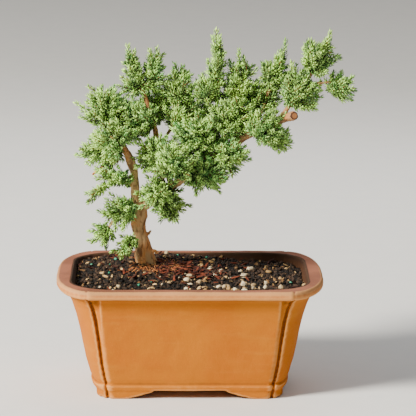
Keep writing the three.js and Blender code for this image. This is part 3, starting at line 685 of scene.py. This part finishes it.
def lump(rng, detail):  # an uneven stone, from a ball of twenty triangles split further by detail
    t = (1 + 5 ** 0.5) / 2
    base = [(-1, t, 0), (1, t, 0), (-1, -t, 0), (1, -t, 0), (0, -1, t), (0, 1, t), (0, -1, -t), (0, 1, -t),
            (t, 0, -1), (t, 0, 1), (-t, 0, -1), (-t, 0, 1)]
    faces = [(0, 11, 5), (0, 5, 1), (0, 1, 7), (0, 7, 10), (0, 10, 11),
             (1, 5, 9), (5, 11, 4), (11, 10, 2), (10, 7, 6), (7, 1, 8),
             (3, 9, 4), (3, 4, 2), (3, 2, 6), (3, 6, 8), (3, 8, 9),
             (4, 9, 5), (2, 4, 11), (6, 2, 10), (8, 6, 7), (9, 8, 1)]
    points = [Vector(p).normalized() for p in base]
    for _ in range(detail):
        middles, finer = {}, []
        for a, b, c in faces:
            ids = []
            for p, q in ((a, b), (b, c), (c, a)):
                key = (min(p, q), max(p, q))
                if key not in middles:
                    middles[key] = len(points)
                    points.append(((points[p] + points[q]) / 2).normalized())
                ids.append(middles[key])
            finer += [(a, ids[0], ids[2]), (b, ids[1], ids[0]), (c, ids[2], ids[1]), tuple(ids)]
        faces = finer
    swell = [1 + 0.6 * noise.noise(p * 1.6 + Vector(rng.uniform(0, 50, 3))) for p in points]
    shape = np.array([list(p * size) for p, size in zip(points, swell)])
    return shape * rng.uniform(0.88, 1.12, (len(shape), 1)), np.array(faces)


def randomTurns(rng, count, tilt):
    yaw = rng.uniform(0, 2 * math.pi, count)
    pitch, roll = rng.normal(0, tilt, count), rng.normal(0, tilt, count)
    turns = [Matrix.Rotation(y, 3, "Z") @ Matrix.Rotation(p, 3, "X") @ Matrix.Rotation(r, 3, "Y")
             for y, p, r in zip(yaw, pitch, roll)]
    return np.array([[list(row) for row in turn] for turn in turns])


# Grains strewn on the soil; area gives a middle x and y, two spreads and the share that falls there.
def scattered(name, grains, rng, area=None):
    shapes = [lump(rng, grains["detail"]) for _ in range(ground["kinds"])]
    turns = randomTurns(rng, grains["count"], grains["tilt"])
    squeeze = grains["squeeze"]
    parts, tones = [], []
    for i in range(grains["count"]):
        height = None
        while height is None:
            if area and rng.random() < area[3]:
                x, y = area[0] + rng.normal(0, area[2][0]), area[1] + rng.normal(0, area[2][1])
            else:
                x, y = rng.uniform(lowSoil.x, highSoil.x), rng.uniform(lowSoil.y, highSoil.y)
            height = onSoil(x, y)
        size = rng.uniform(*grains["size"]) * mm
        points, faces = shapes[i % len(shapes)]
        scaled = points * np.array(squeeze) * rng.uniform(0.8, 1.25, 3) * size / 2
        place = np.array([x, y, height + size * squeeze[2] * (0.5 - grains["sink"])])
        parts.append((scaled @ turns[i].T + place, faces))
        tones.append(np.full(len(points), rng.random()))
    points, faces = combined(parts)
    mesh = meshFrom(name, points, faces, grains["detail"] > 0, {"tone": np.concatenate(tones)})
    look = soilPaint(name, grains["low"], grains["high"], grains["dark"], grains["grain"])
    addPiece(name, mesh, look)
    return look


def rugged(point):  # lumpy surface of the soil
    return (noise.noise(point * 300) * 0.7 + noise.noise(point * 800) * 0.35) * mm


rng = np.random.default_rng(ground["seed"])
bedMesh = displaced(remeshed("soil_bed", ["soil"], ground["grow"], ground["voxel"], ground["passes"]), rugged)
bedMesh.attributes.new("tone", "FLOAT", "POINT")
bedLook = soilPaint("soil_mix", ground["low"], ground["high"], ground["dark"], 400)
addPiece("soil_bed", bedMesh, bedLook, ["soil"])

# Loose grains: size in mm, squeeze as length, width and height, sink as the share of the height in the soil.
crumbs = {
    "count": 4600, "size": (1.1, 3.7), "squeeze": (1, 0.8, 0.6), "tilt": 0.6, "sink": 0.1, "detail": 0,
    "low": srgb(18, 14, 12), "high": srgb(66, 49, 37), "dark": srgb(8, 6, 6), "grain": 900,
}
pumice = {
    "count": 85, "size": (1.6, 5.6), "squeeze": (1, 0.75, 0.6), "tilt": 0.6, "sink": 0.05, "detail": 1,
    "low": srgb(150, 118, 74), "high": srgb(220, 204, 170), "dark": srgb(92, 70, 46), "grain": 600,
}
tanChips = {
    "count": 250, "size": (1.8, 6.0), "squeeze": (1, 0.5, 0.28), "tilt": 0.5, "sink": -0.3, "detail": 0,
    "low": srgb(118, 84, 50), "high": srgb(202, 168, 118), "dark": srgb(54, 36, 24), "grain": 900,
}
barkShreds = {
    "count": 330, "size": (3.5, 10), "squeeze": (1, 0.2, 0.13), "tilt": 0.35, "sink": -1.2, "detail": 0,
    "low": srgb(50, 22, 15), "high": srgb(112, 52, 31), "dark": srgb(26, 13, 10), "grain": 700,
}
feedPellets = {
    "count": 12, "size": (1.4, 2.2), "squeeze": (1, 1, 0.9), "tilt": 0.5, "sink": -0.3, "detail": 1,
    "low": srgb(52, 132, 104), "high": srgb(86, 168, 138), "dark": srgb(40, 90, 70), "grain": 900,
}
frontRight = (highSoil.x - 55 * mm, lowSoil.y + 35 * mm, (38 * mm, 24 * mm), 0.6)
besideTrunk = (trunkFoot[0] + 24 * mm, trunkFoot[1] - 8 * mm, (19 * mm, 12 * mm), 0.8)
scattered("soil_crumbs", crumbs, rng)
pumiceLook = scattered("pumice_grains", pumice, rng, frontRight)
scattered("tan_chips", tanChips, rng)
shredLook = scattered("bark_shreds", barkShreds, rng, besideTrunk)
scattered("feed_pellets", feedPellets, rng)
print("soil dressing done")


fibres = {
    "count": 110, "steps": 7, "towards": -0.9, "from": (5, 16), "step": (1.2, 3.2), "radius": (0.34, 0.14),
}


def rootFibres(rng):  # fine roots that wander over the soil from the foot of the trunk
    count, steps = fibres["count"], fibres["steps"]
    lines = np.zeros((count, steps, 3))
    for i in range(count):
        turn = rng.normal(fibres["towards"], 0.8)
        start = trunkFoot[:2] + np.array([math.cos(turn), math.sin(turn)]) * rng.uniform(*fibres["from"]) * mm
        heading = turn + rng.normal(0, 0.5)
        for k in range(steps):
            heading += rng.normal(0, 0.35)
            stride = rng.uniform(*fibres["step"]) * mm
            start = start + np.array([math.cos(heading), math.sin(heading)]) * stride
            rise = onSoil(*start)
            lines[i, k] = [*start, (rise or lowSoil.z) + (0.9 + 1.1 * math.sin(k * 1.3 + i)) * mm]
    lines = lines[lines[:, :, 2].min(1) > ground["surfaceFrom"]]
    radii = np.linspace(*fibres["radius"], steps)[None] * mm * rng.uniform(0.7, 1.5, (len(lines), 1))
    points, faces = tubes(lines, radii, 5)
    addPiece("root_fibres", meshFrom("root_fibres", points, faces), rootLook)


rootFibres(rng)
print("root fibres done")


def chipped(point):
    return noise.noise(point * 700) * 0.4 * mm


loose = {"voxel": 0.35 * mm, "passes": 2, "tone": 0.7}
for name in sorted(n for n in nodes if n.startswith(("stone_", "bark_chip_"))):
    look, slot = (pumiceLook, "pumice") if name.startswith("stone") else (shredLook, "bark_chip")
    mesh = remeshed(name + "_piece", [name], 0, loose["voxel"], loose["passes"])
    mesh = displaced(mesh, chipped)
    tones = np.full(len(mesh.vertices), loose["tone"])
    mesh.attributes.new("tone", "FLOAT", "POINT").data.foreach_set("value", tones)
    addPiece(name + "_piece", mesh, look, [name])
print("loose stones and chips done")


studio = {
    "key": {"power": 330.0, "size": 0.8, "place": (-2.3, -1.5, 1.75), "color": (1.0, 0.95, 0.84)},
    "fill": {"power": 4.0, "size": 2.4, "place": (1.8, -1.8, 1.0), "color": (0.93, 0.96, 1.0)},
    "back": {"power": 5.0, "size": 0.8, "place": (0.2, 0.9, 0.9), "color": (1, 1, 1)},
    "world": 0.3, "air": (1.0, 1.0, 0.98, 1.0), "litPoint": (0, 0, 0.12), "floorHalf": 3.0, "floorCount": 40,
    "azimuth": -0.9, "elevation": 11.0, "roll": 0.3,
    "distance": 2.0, "lens": 227.0, "aim": (0.0015, 0.0, 0.1369),
}


def addFloor():
    half, count = studio["floorHalf"], studio["floorCount"]
    axis = np.linspace(-half, half, count)
    points = np.array([[x, y, 0.0] for y in axis for x in axis])
    faces = []
    for r in range(count - 1):
        for c in range(count - 1):
            a = r * count + c
            faces += [[a, a + 1, a + count + 1], [a, a + count + 1, a + count]]
    paint = Paint("floor", Specular_IOR_Level=0.2)
    fleck = paint.noise(40, 3)
    look = paint.finish(Base_Color=paint.mix(srgb(222, 222, 222), srgb(230, 229, 227), fleck),
                        Roughness=paint.ramp(fleck, 0.3, 0.7, 0.8, 0.9))
    floor = bpy.data.objects.new("floor", meshFrom("floor", points, faces))
    bpy.context.scene.collection.objects.link(floor)
    floor.data.materials.append(look)


def addLight(name, power, size, place, color):
    lamp = bpy.data.lights.new(name, "AREA")
    lamp.energy = power
    lamp.size = size
    lamp.color = color
    light = bpy.data.objects.new(name, lamp)
    light.location = place
    facing = Vector(studio["litPoint"]) - Vector(place)
    light.rotation_euler = facing.to_track_quat("-Z", "Y").to_euler()
    bpy.context.scene.collection.objects.link(light)


def addWorld():
    world = bpy.data.worlds.new("studio")
    world.use_nodes = True
    air = world.node_tree.nodes["Background"]
    air.inputs["Color"].default_value = studio["air"]
    air.inputs["Strength"].default_value = studio["world"]
    bpy.context.scene.world = world


def addCamera():
    lens = bpy.data.cameras.new("camera")
    lens.lens = studio["lens"]
    lens.clip_start = 0.05
    camera = bpy.data.objects.new("camera", lens)
    turn, lift = math.radians(studio["azimuth"]), math.radians(studio["elevation"])
    aim = Vector(studio["aim"])
    away = Vector((math.sin(turn) * math.cos(lift), -math.cos(turn) * math.cos(lift), math.sin(lift)))
    camera.location = aim + away * studio["distance"]
    facing = (-away).to_track_quat("-Z", "Y").to_matrix().to_4x4()
    camera.rotation_euler = (facing @ Matrix.Rotation(math.radians(studio["roll"]), 4, "Z")).to_euler()
    bpy.context.scene.collection.objects.link(camera)
    bpy.context.scene.camera = camera


addFloor()
for name in ("key", "fill", "back"):
    addLight(name, **studio[name])
addWorld()
addCamera()
print("studio done")
